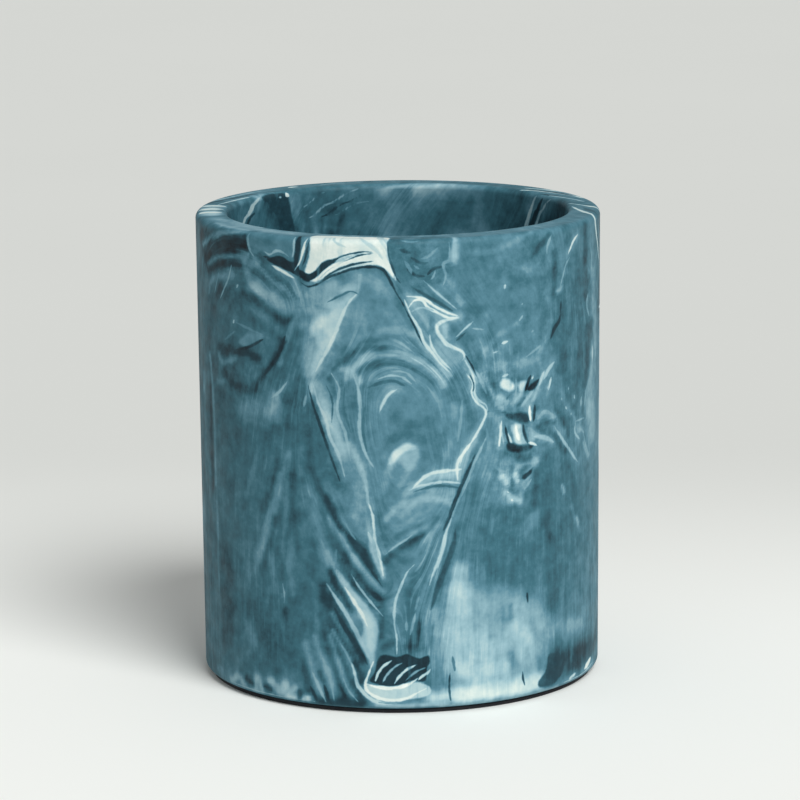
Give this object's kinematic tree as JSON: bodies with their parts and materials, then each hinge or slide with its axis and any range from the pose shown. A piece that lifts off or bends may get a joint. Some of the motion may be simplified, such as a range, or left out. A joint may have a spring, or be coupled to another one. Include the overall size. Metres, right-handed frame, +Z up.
{
  "type": "pen cup",
  "caption": "Round thick-walled desk cup with an open top for pens and pencils, marbled outside and in, standing on a thin non-slip rubber pad.",
  "frame": {"origin": "middle of the base pad's underside, on the surface the cup stands on", "axes": "+Z up along the cup's axis; -Y is the front, the side seen in the picture, and +X is to its right"},
  "size_m": [0.082, 0.082, 0.095],
  "materials": {
    "marbled_plastic": "satin, swirled pale and deep blue-teal marbling",
    "pad_rubber": "matte",
    "adhesive_film": "clear, tacky"
  },
  "bodies": {
    "root": {"cup_body": "marbled_plastic", "base_pad": "pad_rubber", "pad_adhesive": "adhesive_film"}
  },
  "joints": []
}
